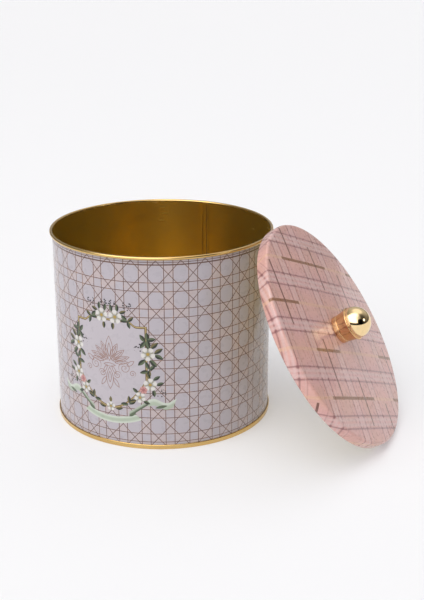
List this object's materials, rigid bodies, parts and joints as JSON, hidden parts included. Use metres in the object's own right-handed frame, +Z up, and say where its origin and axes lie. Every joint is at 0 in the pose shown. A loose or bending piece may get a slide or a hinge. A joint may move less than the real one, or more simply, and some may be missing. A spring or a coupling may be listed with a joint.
{
  "type": "cookie tin",
  "caption": "Round tinplate cookie tin, printed and gold-lacquered, with rolled rim, seamed base and a slightly domed lid with a gold ball knob, leaning open against the tin.",
  "frame": {"origin": "centre of the tin's base, on the plane that it stands on", "axes": "+Z up along the tin's axis; +X towards the lid that leans against the rim; the X-Z plane is the plane of symmetry"},
  "size_m": [0.2583, 0.1688, 0.1453],
  "materials": {
    "printed_wall": "gloss printed tinplate outside, gold lacquer inside",
    "gold_lacquer": "gold-lacquered tinplate, bright",
    "printed_lid": "gloss printed tinplate outside, gold lacquer inside",
    "polished_gold": "polished gold plating",
    "zinc_steel": "zinc plated"
  },
  "bodies": {
    "tin": {"body_wall": "printed_wall", "bottom_plate": "gold_lacquer"},
    "lid": {"lid_shell": "printed_lid", "knob_collar": "polished_gold", "knob_ball": "polished_gold", "knob_screw": "zinc_steel", "knob_washer": "zinc_steel"}
  },
  "joints": [
    {"name": "lid_off", "type": "slide", "parent": "tin", "child": "lid", "axis": [0.8409, 0, 0.5412], "range_m": [0, 0.12]}
  ]
}
